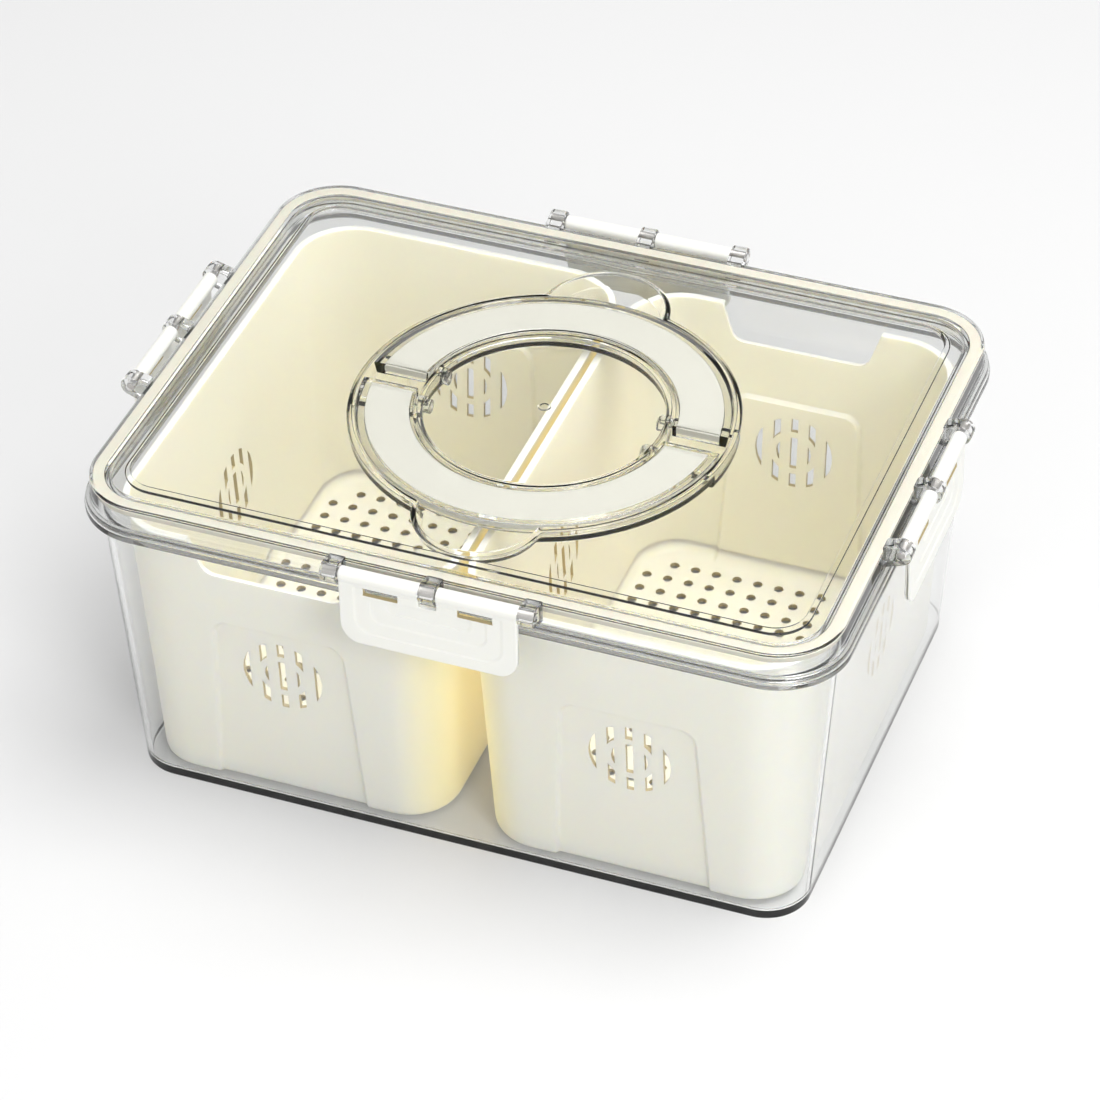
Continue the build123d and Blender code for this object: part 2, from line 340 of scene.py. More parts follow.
def points_of(mesh):
    """A mesh's points in millimetres, as rows of three."""
    co = np.empty(len(mesh.vertices) * 3)
    mesh.vertices.foreach_get("co", co)
    return co.reshape(-1, 3) / MM


def move_points(mesh, points):
    """Puts a mesh's points at new places in millimetres."""
    mesh.vertices.foreach_set("co", (points * MM).ravel())
    mesh.update()


def corners_of(mesh):
    """The point numbers of a mesh's faces, one after the other, and where each face starts."""
    corners, starts = np.empty(len(mesh.loops), int), np.empty(len(mesh.polygons), int)
    mesh.loops.foreach_get("vertex_index", corners)
    mesh.polygons.foreach_get("loop_start", starts)
    return corners, starts


def centres_of(mesh):
    """The middles of a mesh's faces in millimetres, as rows of three."""
    centre = np.empty(len(mesh.polygons) * 3)
    mesh.polygons.foreach_get("center", centre)
    return centre.reshape(-1, 3) / MM


def add_material(mesh, material, faces):
    """Adds a second material to a mesh and gives it to the faces that the mask faces names."""
    mesh.materials.append(material)
    mesh.polygons.foreach_set("material_index", faces.astype(int))
    mesh.update()


def signed_volume(mesh):
    """Six times the volume inside a closed mesh: positive where its faces point outwards."""
    mesh.calc_loop_triangles()
    tris = np.empty(len(mesh.loop_triangles) * 3, int)
    mesh.loop_triangles.foreach_get("vertices", tris)
    a, b, c = points_of(mesh)[tris.reshape(-1, 3)].transpose(1, 0, 2)
    return float(np.einsum("ij,ij->i", a, np.cross(b, c)).sum())


def closed_tube(name, rings, crease=32.0):
    """A closed surface through rings of points, shape (rows, cols, 3), with flat ends."""
    rows, cols = rings.shape[:2]
    faces = grid_faces(rows, cols)
    faces.append(list(range(cols))[::-1])
    faces.append(list(range((rows - 1) * cols, rows * cols)))
    return put_mesh(name, rings, faces, crease)


def closed_ring(name, rings):
    """A closed surface like a tyre: rows wrap round as well as columns."""
    return put_mesh(name, rings, grid_faces(*rings.shape[:2], wrap_rows=True))


def rounded_path(points, radii, steps=5, closed=False):
    """A 2-D path whose corners are arcs: each arc leaves its two runs at radius * tan(turn / 2)
    from the corner, and its points turn evenly about the arc's centre. A point a little before and
    after each arc keeps the flats beside it flat where the mesh is shaded smooth."""
    points = [np.array(p, float) for p in points]
    count = len(points)
    out = []
    for i, p in enumerate(points):
        r = radii[i]
        if r <= 0 or (not closed and i in (0, count - 1)):
            out.append(p)
            continue
        a = points[i - 1] - p
        b = points[(i + 1) % count] - p
        a, b = a / np.linalg.norm(a), b / np.linalg.norm(b)
        half = math.acos(max(-1.0, min(1.0, float(a @ b)))) / 2
        bisector = (a + b) / np.linalg.norm(a + b)
        centre = p + bisector * r / math.sin(half)
        start = p + a * r / math.tan(half) - centre
        turn = math.pi - 2 * half
        way = 1.0 if start[1] * a[0] - start[0] * a[1] > 0 else -1.0
        t = np.linspace(0, turn, steps + 1) * way
        arc = coordinates(
            start[0] * np.cos(t) - start[1] * np.sin(t),
            start[0] * np.sin(t) + start[1] * np.cos(t),
        )
        out.extend([arc[0] + centre + a * GUARD, *(arc + centre), arc[-1] + centre + b * GUARD])
    return np.array(out)


def rounded_loops(hx, hy, r, corner=14, side=6):
    """Rounded rectangles as loops, one row per (half width, half depth, radius): quarter arcs about
    the four corner centres, joined by straight runs. Shape (rows, 4 * (corner + side), 2)."""
    hx, hy, r = (np.atleast_1d(np.asarray(v, float)) for v in (hx, hy, r))
    signs = np.array([(1, 1), (-1, 1), (-1, -1), (1, -1)], float)
    a = np.arange(4)[:, None] * math.pi / 2 + np.linspace(0, math.pi / 2, corner + 1)[None, :]
    arc = coordinates(np.cos(a), np.sin(a))
    centre = signs[None, :, None, :] * coordinates(hx - r, hy - r)[:, None, None, :]
    arcs = centre + arc[None] * r[:, None, None, None]
    t = (np.arange(1, side) / side)[None, None, :, None]
    start = arcs[:, :, -1:, :]
    end = np.roll(arcs, -1, axis=1)[:, :, :1, :]
    runs = start + (end - start) * t
    return np.concatenate([arcs, runs], axis=2).reshape(len(hx), -1, 2)


def at_heights(loops, z):
    """Loops of shape (rows, cols, 2) lifted to one height per row."""
    return coordinates(loops[..., 0], loops[..., 1], np.asarray(z, float)[:, None])


def on_side(points, name):
    """Points drawn with x along the back side and y outwards from the rim, carried to a side."""
    distance, turn = SIDES[name]
    c, s = math.cos(math.radians(turn)), math.sin(math.radians(turn))
    x, y, z = np.moveaxis(points, -1, 0)
    y = y + distance
    return coordinates(x * c - y * s, x * s + y * c, z)


def place_on_side(obj, name):
    """Carries a mesh drawn on the back side to a side, in its points."""
    move_points(obj.data, on_side(points_of(obj.data), name))


def smooth(t):
    """The cubic ramp 3t^2 - 2t^3 held between 0 and 1."""
    t = np.clip(t, 0, 1)
    return t * t * (3 - 2 * t)


def past_corner(dx, dy):
    """Distance past the corner of two lines, from the distances past each: to the corner itself
    outside both, and to the nearer line elsewhere, negative inside."""
    return np.hypot(np.maximum(dx, 0), np.maximum(dy, 0)) + np.minimum(np.maximum(dx, dy), 0)


def joined(name, objs):
    """One mesh object from several, with their meshes added together."""
    points, faces, count = [], [], 0
    for obj in objs:
        mesh = obj.data
        corners, starts = corners_of(mesh)
        points.append(points_of(mesh))
        faces.extend(part.tolist() for part in np.split(corners + count, starts[1:]))
        count += len(mesh.vertices)
        bpy.data.meshes.remove(mesh)
    return put_mesh(name, np.concatenate(points), faces)


def cut(obj, cutters):
    """Takes the cutters' closed meshes out of the object's, and removes the cutters."""
    tool = joined(obj.name + "_tool", cutters)
    modifier = obj.modifiers.new("Cut", "BOOLEAN")
    modifier.operation = "DIFFERENCE"
    modifier.solver = "EXACT"
    modifier.object = tool
    graph = bpy.context.evaluated_depsgraph_get()
    mesh = bpy.data.meshes.new_from_object(obj.evaluated_get(graph))
    obj.modifiers.clear()
    old = obj.data
    obj.data = mesh
    bpy.data.meshes.remove(old)
    bpy.data.meshes.remove(tool.data)
    if len(mesh.polygons) == 0:
        raise RuntimeError(obj.name + " was cut away")
    shade(mesh)


def prism(name, outline, axis, low, high):
    """A closed prism: an outline of (across, up) pairs carried along X, Y or Z."""
    across, up = outline.T
    along = np.array([low, high])[:, None]
    order = {"X": (along, across, up), "Y": (across, along, up), "Z": (across, up, along)}
    return closed_tube(name, coordinates(*order[axis]))


def rod(name, radius, x0, x1, y, z):
    """A rod along X with rounded rims: circles whose radius follows a quarter arc at each end."""
    e = ROD_RIM
    t = np.linspace(0, math.pi / 2, 4)[:, None]
    x = np.concatenate([x0 + e - e * np.cos(t), x1 - e + e * np.sin(t)])
    r = radius - e + e * np.concatenate([np.sin(t), np.cos(t)])
    a = np.linspace(0, 2 * math.pi, 32, endpoint=False)
    return closed_tube(name, coordinates(x, y + r * np.cos(a), z + r * np.sin(a)))


def dress(obj, material, body, slot, *nodes):
    """Gives a piece its material and its body, and hides the nodes that it stands for. The slot is
    not used.
    """
    obj.data.materials.clear()
    obj.data.materials.append(material)
    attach(obj, body)
    if nodes:
        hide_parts(*nodes)


# Materials

# Input and output numbers of a Mix node for a kind of value
MIX_SOCKETS = {"FLOAT": (2, 3, 0), "RGBA": (6, 7, 2)}


def fill(tree, socket, value):
    """Gives an input socket a link, where the value is another node's output, or a plain value."""
    if isinstance(value, bpy.types.NodeSocket):
        tree.links.new(value, socket)
    else:
        socket.default_value = value


def add_node(tree, kind, values=None, **settings):
    """A new shader node with its settings and the values or links of its inputs."""
    node = tree.nodes.new("ShaderNode" + kind)
    for key, value in settings.items():
        setattr(node, key, value)
    for key, value in (values or {}).items():
        fill(tree, node.inputs[key], value)
    return node


def mixed(tree, kind, factor, low, high):
    """The output of a Mix node that goes from low to high with the factor."""
    first, second, result = MIX_SOCKETS[kind]
    values = {0: factor, first: low, second: high}
    return add_node(tree, "Mix", values, data_type=kind).outputs[result]


def added(tree, *values):
    """The sum of outputs, held at one."""
    total = values[0]
    for value in values[1:]:
        sums = add_node(tree, "Math", {0: total, 1: value}, operation="ADD", use_clamp=True)
        total = sums.outputs[0]
    return total


def opaque(colour):
    """A colour with full alpha, as colour sockets take it."""
    return (*colour, 1)


def moulded_group():
    """Fine unevenness of moulded plastic, as a group: three-dimensional noise at two scales varies
    the colour a little, spreads the roughness and gives the height for a Bump node."""
    name = "Moulded Surface"
    if name in bpy.data.node_groups:
        return bpy.data.node_groups[name]
    tree = bpy.data.node_groups.new(name, "ShaderNodeTree")
    for way, kind, label, value in (
        ("INPUT", "Color", "Colour", (0.8, 0.8, 0.8, 1)),
        ("INPUT", "Float", "Mottle", 0.03),
        ("INPUT", "Float", "Roughness", 0.3),
        ("INPUT", "Float", "Spread", 0.05),
        ("INPUT", "Float", "Grain Size", 900.0),
        ("OUTPUT", "Color", "Colour", None),
        ("OUTPUT", "Float", "Roughness", None),
        ("OUTPUT", "Float", "Height", None),
    ):
        made = tree.interface.new_socket(name=label, in_out=way, socket_type="NodeSocket" + kind)
        if value is not None:
            made.default_value = value
    given = tree.nodes.new("NodeGroupInput").outputs
    out = tree.nodes.new("NodeGroupOutput").inputs
    place = add_node(tree, "TexCoord").outputs["Object"]
    broad = add_node(tree, "TexNoise", {"Vector": place, "Scale": 22.0, "Detail": 3.0})
    fine = add_node(tree, "TexNoise",
                    {"Vector": place, "Scale": given["Grain Size"], "Detail": 4.0})
    centred = add_node(tree, "Math", {0: broad.outputs["Fac"], 1: 0.5}, operation="SUBTRACT")
    shift = add_node(tree, "Math", {0: centred.outputs[0], 1: given["Mottle"], 2: 1.0},
                     operation="MULTIPLY_ADD")
    scaled = add_node(tree, "VectorMath", {0: given["Colour"], "Scale": shift.outputs[0]},
                      operation="SCALE")
    spread = add_node(tree, "Math",
                      {0: centred.outputs[0], 1: given["Spread"], 2: given["Roughness"]},
                      operation="MULTIPLY_ADD")
    fill(tree, out["Colour"], scaled.outputs["Vector"])
    fill(tree, out["Roughness"], spread.outputs[0])
    fill(tree, out["Height"], fine.outputs["Fac"])
    return tree


def new_material(name):
    """A material with a Principled shader, its node tree and the two nodes."""
    mat = bpy.data.materials.new(name)
    mat.use_nodes = True
    tree = mat.node_tree
    tree.nodes.clear()
    bsdf = add_node(tree, "BsdfPrincipled")
    out = add_node(tree, "OutputMaterial", {"Surface": bsdf.outputs[0]})
    return mat, tree, bsdf, out


def moulded(name, colour, mottle, roughness, spread, grain, height, values=None, extra_nodes=None):
    """A material whose colour, roughness and grain come from the moulded surface group, made at
    its first use. Grain is the fine noise's scale, and height is its depth in millimetres. The
    values go to the Principled shader's inputs, and dye is a function that adds nodes."""
    if name in bpy.data.materials:
        return bpy.data.materials[name]
    mat, tree, bsdf, _ = new_material(name)
    group = tree.nodes.new("ShaderNodeGroup")
    group.node_tree = moulded_group()
    for label, value in (
        ("Colour", opaque(colour)), ("Mottle", mottle), ("Roughness", roughness),
        ("Spread", spread), ("Grain Size", grain),
    ):
        group.inputs[label].default_value = value
    bump = add_node(tree, "Bump", {
        "Strength": 1.0, "Distance": height * MM, "Height": group.outputs["Height"],
    })
    for label, value in (
        ("Base Color", group.outputs["Colour"]), ("Roughness", group.outputs["Roughness"]),
        ("Normal", bump.outputs[0]), *(values or {}).items(),
    ):
        fill(tree, bsdf.inputs[label], value)
    if extra_nodes:
        extra_nodes(tree, group, bsdf)
    return mat


def soft_light(weight, radius, scale):
    """The Principled shader's values for light that spreads under the surface, scale in
    millimetres."""
    return {
        "Subsurface Weight": weight,
        "Subsurface Radius": radius,
        "Subsurface Scale": scale * MM,
    }


def clear_plastic():
    """Clear polished plastic: a refracting shader that lets lamp light through to what it holds."""
    name = "Clear Plastic"
    if name in bpy.data.materials:
        return bpy.data.materials[name]
    mat, tree, bsdf, out = new_material(name)
    for label, value in (
        ("Base Color", opaque(colours().clear)), ("Transmission Weight", 1.0),
        ("IOR", 1.49), ("Roughness", 0.015),
    ):
        bsdf.inputs[label].default_value = value
    see = add_node(tree, "BsdfTransparent", {"Color": (0.97, 0.97, 0.97, 1)})
    path = add_node(tree, "LightPath")
    mix = add_node(tree, "MixShader", {
        "Fac": path.outputs["Is Shadow Ray"], 1: bsdf.outputs[0], 2: see.outputs[0],
    })
    fill(tree, out.inputs["Surface"], mix.outputs[0])
    return mat


def painted_step_shade():
    """Painted shade: a dull dark material for the line along the lid's panel step, standing for the
    dark surroundings that the step shows by refraction.
    """
    return moulded("Clear Plastic Painted Step Shade", (0.035, 0.03, 0.028), 0.2, 0.35, 0.1, 2000.0, 0.01)


def paint_basket_light(tree, group, bsdf):
    """Paints light into the basket's colour by the mesh's attributes inside and facing: a warmer,
    brighter colour inside for the light bounced about in the basket, and a deeper yellow on the
    wall that faces the other basket for the light between the two. That wall also glows faintly,
    painted light for the light that comes through it."""
    colour = opaque(colours().cream)
    for name, painted_light_colour in (("inside", colours().cream_painted_inner_light), ("facing", colours().cream_painted_gap_light)):
        where = add_node(tree, "Attribute", attribute_name=name).outputs["Fac"]
        colour = mixed(tree, "RGBA", where, colour, opaque(painted_light_colour))
    fill(tree, group.inputs["Colour"], colour)
    # Painted light: the facing wall glows faintly though it is no lamp
    glow = mixed(tree, "RGBA", where, (0, 0, 0, 1), opaque(WALL_GLOW))
    fill(tree, bsdf.inputs["Emission Color"], glow)
    bsdf.inputs["Emission Strength"].default_value = 1.0


def basket_plastic():
    """Cream plastic with a soft gloss and light spread under its surface, with painted light in its
    colour inside and between the baskets.
    """
    return moulded("Basket Cream Plastic", colours().cream, 0.03, 0.34, 0.06, 1400.0, 0.02,
                   soft_light(0.5, (1.0, 0.8, 0.4), 5.0), paint_basket_light)


def basket_painted_hole_shade():
    """The same plastic on the narrow walls of the vents and drain holes, with painted shade: a dark
    tan for the shade that falls in them.
    """
    return moulded("Basket Painted Hole Shade", colours().cream_painted_hole_shade, 0.05, 0.4, 0.06, 1400.0, 0.02)


def latch_plastic():
    """Warm white plastic of the latches, a little glossier than the baskets."""
    return moulded("Latch White Plastic", colours().latch, 0.02, 0.3, 0.05, 1600.0, 0.012,
                   soft_light(0.2, (1.0, 0.9, 0.6), 1.5))


def latch_painted_slot_shade():
    """The latches' plastic on the walls of their slots, with painted shade: a dark tan for the
    shade in the slots.
    """
    return moulded("Latch Painted Slot Shade", colours().cream_painted_hole_shade, 0.05, 0.4, 0.05, 1600.0, 0.012)


def band_plastic():
    """Cream plastic of the bands under the handle's clear skin."""
    return moulded("Handle Band Plastic", colours().band, 0.02, 0.45, 0.05, 1200.0, 0.015)


def seal_rubber():
    """Soft white rubber of the seal, matt with a fine grain."""
    return moulded("Seal White Rubber", colours().seal, 0.03, 0.6, 0.08, 2200.0, 0.03,
                   soft_light(0.2, (1.0, 0.2, 0.1), 1.0))


def pin_steel():
    """Drawn steel of the hinge rods."""
    return moulded("Pin Drawn Steel", (0.56, 0.54, 0.52), 0.08, 0.5, 0.12, 3000.0, 0.01,
                   {"Metallic": 1.0})


# Pieces


def box_radius(inset, z):
    """Corner radius of the box's outline at an inset and height: it grows from the base to the
    neck, shrinks by what the outline is drawn in, and follows the flange above the neck."""
    face_inset = np.interp(z, [0, NECK_Z], [BASE_INSET, NECK_INSET])
    face_r = np.interp(z, [0, NECK_Z], [BASE_R, RIM_R])
    body = face_r - (inset - face_inset)
    insets = [-FLANGE_OUT, NECK_INSET, NECK_INSET + 10]
    top = np.interp(inset, insets, [RIM_R + FLANGE_OUT, RIM_R, RIM_R - 10])
    return np.where(z < NECK_Z, body, top)


def box_rings():
    """The box's wall as loops: its section runs from the floor inside, up the wall, over the lip,
    down past the flange and the wall, round the foot and under the base."""
    slope = (BASE_INSET - NECK_INSET) / NECK_Z
    inner_foot = BASE_INSET - slope * BOX_FLOOR + BOX_WALL
    inner_neck = NECK_INSET + BOX_WALL
    e = sizes().edge_round / MM
    section = rounded_path([
        (inner_foot + BASE_REACH, BOX_FLOOR),
        (inner_foot, BOX_FLOOR),
        (inner_neck, NECK_Z),
        (inner_neck, LIP_TOP),
        (NECK_INSET, LIP_TOP),
        (NECK_INSET, FLANGE_TOP),
        (-FLANGE_OUT, FLANGE_TOP),
        (-FLANGE_OUT, NECK_Z),
        (NECK_INSET, NECK_Z),
        (BASE_INSET, 0),
        (BASE_INSET + BASE_REACH, 0),
    ], [0, 3.0, 8.0, e, e, e, e, e, 0.8, BOX_FOOT_R, 0], steps=6)
    inset, z = section[:, 0], section[:, 1]
    half_x, half_y = RIM_HALF_X - inset, RIM_HALF_Y - inset
    return at_heights(rounded_loops(half_x, half_y, box_radius(inset, z), corner=20, side=10), z)


def rim_radius(inset):
    """Corner radius of the rim's outline at an inset."""
    return RIM_R - inset


def lid_columns(edge):
    """Polar angles of the lid's columns, where the dips end at angle edge: across a dip the columns
    are evenly spaced in y, and between the dips they are evenly spaced in angle."""
    s = np.linspace(-1, 1, LID_DIP_STEPS)
    right = np.arcsin(s * math.sin(edge))
    gap = 0.25 / GROOVE_OUT_R
    arc = np.linspace(edge + gap, math.pi - edge - gap, LID_ARC_STEPS)
    return np.concatenate([right, arc, math.pi + right, math.pi + arc])


def lid_in_dip():
    """Which of the lid's columns lie in a dip."""
    return np.tile(np.arange(LID_DIP_STEPS + LID_ARC_STEPS) < LID_DIP_STEPS, 2)


def to_outline(angles, hx, hy, r):
    """Distance from the centre to a rounded rectangle along each angle: to the flat side that the
    ray meets, or to the corner's circle where it passes between the flats."""
    c, s = np.abs(np.cos(angles)), np.abs(np.sin(angles))
    cx, cy = hx - r, hy - r
    along = c * cx + s * cy
    corner = along + np.sqrt(np.maximum(along ** 2 - cx ** 2 - cy ** 2 + r ** 2, 0))
    to_x = hx / np.maximum(c, 1e-9)
    to_y = hy / np.maximum(s, 1e-9)
    out = np.where(to_x * s <= cy, to_x, corner)
    return np.where(to_y * c <= cx, to_y, out)


def to_keyhole(angles, ring_r, scoop_r):
    """Distance from the centre to the groove's outer wall: its circle, or a scoop's circle where
    that reaches further, joined by a short smooth curve."""
    c, s = np.cos(angles), np.abs(np.sin(angles))
    inside = scoop_r ** 2 - (SCOOP_Y * c) ** 2
    scoop = np.where(inside > 0, SCOOP_Y * s + np.sqrt(np.maximum(inside, 0)), 0)
    gap = np.clip((scoop - ring_r) / SCOOP_BLEND, -1, 1)
    blend = SCOOP_BLEND * (1 - np.abs(gap)) ** 2 / 4
    return np.maximum(scoop, ring_r) + np.where(scoop > 0, blend, 0)


def lid_row(distance, z, angles):
    """A row of the lid: points at a distance from the middle along each column's angle."""
    return coordinates(distance * np.cos(angles), distance * np.sin(angles), z)


def trough_rows(grow, edge, foot):
    """Rows across the groove from the island to the panel, on a surface grown downwards by grow.
    A wall's section is a rounded path of (distance from the wall, height above the nominal floor),
    and its heights are stretched where the floor is deeper. The outer wall's distances are
    measured from the keyhole outline."""
    half = DIP_HALF + grow
    r_in, r_out = GROOVE_IN_R - grow, GROOVE_OUT_R + grow
    floor = np.where(lid_in_dip(), DIP_FLOOR - grow, GROOVE_FLOOR - grow)
    rise = PANEL_TOP - grow - floor
    depth = PANEL_TOP - GROOVE_FLOOR
    path = [(-1, depth), (0, depth), (0, 0), (TROUGH_FOOT, 0)]
    wall = rounded_path(path, [0, edge, foot, 0], 5)
    rows = []
    for away, height in wall:
        angles = lid_columns(math.asin(half / (r_in + away)))
        rows.append(lid_row(r_in + away, floor + rise * height / depth, angles))
    low, high = r_in + TROUGH_FOOT, r_out - TROUGH_FOOT
    for share in (0.25, 0.5, 0.75):
        angles = lid_columns(math.asin(half / (low + (high - low) * share)))
        reach = to_keyhole(angles, r_out, SCOOP_R + grow - SCOOP_DRAFT) - TROUGH_FOOT
        rows.append(lid_row(low + (reach - low) * share, floor, angles))
    for away, height in wall[::-1]:
        share = height / depth
        angles = lid_columns(math.asin(half / (r_out - away)))
        scoop_r = SCOOP_R + grow - SCOOP_DRAFT * (1 - share)
        distance = to_keyhole(angles, r_out, scoop_r) - away
        rows.append(lid_row(distance, floor + rise * share, angles))
    return rows


def rim_rows():
    """Rows across the rim, from the panel's top over the rim, down the skirt, round the seal's
    channel and the plug wall to the panel's underside."""
    e = sizes().edge_round / MM
    section = rounded_path([
        (PANEL_INSET + 1.4, PANEL_TOP),
        (PANEL_INSET, PANEL_TOP),
        (PANEL_INSET, RIM_TOP),
        (0, RIM_TOP),
        (-SKIRT_FLARE, BEAD_TOP),
        (-BEAD_OUT, BEAD_TOP),
        (-BEAD_OUT, SKIRT_BOTTOM),
        (SKIRT_WALL, SKIRT_BOTTOM),
        (SKIRT_WALL, RIM_TOP - PLATE),
        (PLUG_INSET, RIM_TOP - PLATE),
        (PLUG_INSET, PLUG_BOTTOM),
        (PLUG_INSET + PLUG_WALL, PLUG_BOTTOM),
        (PLUG_INSET + PLUG_WALL, RIM_TOP - PLATE),
        (PANEL_INSET - PLATE, RIM_TOP - PLATE),
        (PANEL_INSET - PLATE, PANEL_TOP - PLATE),
        (PANEL_INSET + 0.6, PANEL_TOP - PLATE),
    ], [0, 0.3, 0.5, 1.1, 0.3, e, e, 0.3, 0.4, 0.3, e, e, 0.4, 0.3, 0.4, 0], steps=4)
    angles = lid_columns(math.asin(DIP_HALF / GROOVE_OUT_R))
    rows = []
    for inset, z in section:
        own = PANEL_CORNER[0] < inset < PANEL_CORNER[1]
        r = PANEL_R + PANEL_INSET - inset if own else rim_radius(inset)
        outline = to_outline(angles, RIM_HALF_X - inset, RIM_HALF_Y - inset, r)
        rows.append(lid_row(outline, z, angles))
    return rows


def lid_rows():
    """The lid as rows of points from the gate mark in the middle of its top to the middle of its
    underside. Each row is a circle, the groove's keyhole outline or a rounded rectangle, met along
    the columns' rays."""
    gate = rounded_path(
        [(0.5, 0.05), (1.5, 0.05), (1.9, 0.35), (2.3, 0.35), (2.7, 0), (4, 0)],
        [0, 0.15, 0.1, 0.1, 0.15, 0], 3,
    )
    above = lid_columns(math.asin(DIP_HALF / GROOVE_IN_R))
    below = lid_columns(math.asin((DIP_HALF + GROOVE_WALL) / (GROOVE_IN_R - GROOVE_WALL)))
    rows = [lid_row(radius, PANEL_TOP + lift, above) for radius, lift in gate]
    rows += trough_rows(0, sizes().edge_round / MM, 0.8) + rim_rows()
    rows += trough_rows(GROOVE_WALL, 0.4, 1.2)[::-1]
    rows += [lid_row(radius, PANEL_TOP - GROOVE_WALL, below) for radius in (4.0, 1.0)]
    return np.array(rows)


def lug_rings(s):
    """A hinge lug: its outline is the eye's circle closed by two straight runs to the skirt,
    carried across its width with rounded rims, and its hole is met by rays from the pin's axis."""
    a = np.radians(np.linspace(-62, 96, 26))
    eye = coordinates(HINGE_OUT + LUG_R * np.cos(a), HINGE_Z + LUG_R * np.sin(a))
    foot = -0.4
    path = [eye[-1], (foot, RIM_TOP + 0.6), (foot, LUG_FOOT), eye[0]]
    runs = rounded_path(path, [0, 0.4, 0.8, 0], 4)
    t = np.linspace(0.1, 0.9, 6)[:, None]
    top_run = runs[0] + (runs[1] - runs[0]) * t
    low_run = runs[-2] + (runs[-1] - runs[-2]) * t
    outline = np.concatenate([eye, top_run, runs[1:-1], low_run])
    axis = np.array([HINGE_OUT, HINGE_Z])
    away = outline - axis
    distance = np.linalg.norm(away, axis=1, keepdims=True)
    hole = axis + away / distance * (PIN_R + 0.06)
    e = 0.5
    half = LUG_W / 2
    q = np.linspace(0, math.pi / 2, 5)
    rims = []
    for sin, cos in zip(np.sin(q), np.cos(q)):
        rims.append((axis + away * (1 - (e - e * sin) / distance), half - e + e * cos))
    rows = [(hole, -half)] + [(p, -x) for p, x in rims] + rims[::-1] + [(hole, half)]
    return np.array([coordinates(s + x, p[:, 0], p[:, 1]) for p, x in rows])


def latch_section(e, outer_z):
    """The flap and barrel's section as (outwards, up) points, thinned all round by e: up the inner
    face, over the barrel and down the outer face, whose points stand at the heights outer_z."""
    radius = BARREL_R - e
    inner_u = HINGE_OUT + FLAP_OUT - FLAP_T + e
    outer_u = HINGE_OUT + FLAP_OUT - e
    inner_z = np.linspace(FLAP_BOTTOM + FLAP_FOOT_R, HINGE_Z - 3.4, INNER_ROWS)
    inner = coordinates(inner_u, inner_z)
    a = np.radians(np.linspace(262, 20, BARREL_ROWS))
    barrel = coordinates(HINGE_OUT + radius * np.cos(a), HINGE_Z + radius * np.sin(a))
    roll = np.sqrt(np.maximum(radius ** 2 - (outer_z - HINGE_Z) ** 2, 0)) + HINGE_OUT
    outer = coordinates(np.maximum(roll, outer_u), outer_z)
    q = np.linspace(0, math.pi, 9)[1:-1]
    mid, half = (inner_u + outer_u) / 2, (outer_u - inner_u) / 2
    foot_z = FLAP_BOTTOM + FLAP_FOOT_R - (FLAP_FOOT_R - e) * np.sin(q)
    foot = coordinates(mid + half * np.cos(q), foot_z)
    return np.concatenate([inner, barrel, outer, foot])


def terrace_distance(s, z, k):
    """Distance inside the outline of a flap's terrace k, which is open at its top and has rounded
    lower corners."""
    radius = FLAP_R - 2 * (k + 1)
    dx = np.abs(s) - (LATCH_HALF - TERRACE_INSET * (k + 1) - radius)
    dz = FLAP_BOTTOM + TERRACE_RISE * (k + 1) + radius - z
    return np.minimum(radius - past_corner(dx, dz), TERRACE_TOPS[k] - z)


def latch_rings():
    """A latch as section loops along s: the loops' width follows the flap's rounded lower corners,
    their thickness follows a quarter round at the rims, and the outer face steps in at each
    terrace."""
    outer_z = np.linspace(HINGE_Z - 0.2, FLAP_BOTTOM + FLAP_FOOT_R, FLAP_ROWS)
    q = np.linspace(0, math.pi / 2, 6)
    middle = np.linspace(-1, 1, 141) * (1 - FLAP_RIM / LATCH_HALF)
    rims = [((LATCH_HALF - FLAP_RIM + FLAP_RIM * math.sin(a)) / LATCH_HALF,
             FLAP_RIM - FLAP_RIM * math.cos(a)) for a in q[1:]]
    columns = [(-u, e) for u, e in rims[::-1]] + [(u, 0.0) for u in middle] + rims
    step = sizes().terrace_step / MM
    first = INNER_ROWS + BARREL_ROWS
    rings = []
    for share, thin in columns:
        u, z = latch_section(thin, outer_z).T
        drop = np.clip(FLAP_BOTTOM + FLAP_R - z, 0, FLAP_R)
        s = share * (LATCH_HALF - FLAP_R + np.sqrt(FLAP_R ** 2 - drop ** 2))
        outer = (np.arange(len(z)) >= first) & (np.arange(len(z)) < first + FLAP_ROWS)
        for k in range(len(TERRACE_TOPS)):
            u = u - np.where(outer, step * smooth(terrace_distance(s, z, k) / 0.7 + 0.5), 0)
        rings.append(coordinates(s, u, z))
    return np.array(rings)


def latch_hook():
    """The hook rib along the flap's inner face: a wedge section carried along the side."""
    inner = HINGE_OUT + FLAP_OUT - FLAP_T + 0.6
    tip = FLANGE_OUT + 0.15
    top, mid, low = HOOK_HEIGHTS
    path = [(inner, top), (tip, top), (tip, mid), (inner, low)]
    u, z = rounded_path(path, [0, 0.5, 0.5, 0], 4).T
    half = LATCH_HALF - FLAP_R
    return np.array([coordinates(s, u, z) for s in (-half, half)])


def half_ring(name, side, section, end_y, lift=None):
    """Half a ring about Z: section points (radius, height) carried round between two end faces
    that are flat at y = end_y, because each radius starts at the angle whose sine is
    end_y / radius. Lift changes the section by how far round it is, from 0 to 1."""
    between = np.linspace(0, 1, 121)[1:-1]
    shares = np.concatenate([[0, RING_FIRST_SHARE], between, [1 - RING_FIRST_SHARE, 1]])
    rings = []
    for share in shares:
        radius, z = (section if lift is None else lift(section, share)).T
        start = np.arcsin(end_y / radius)
        angle = start + share * (math.pi - 2 * start)
        rings.append(coordinates(radius * np.cos(angle), side * radius * np.sin(angle), z))
    return closed_tube(name, np.array(rings))


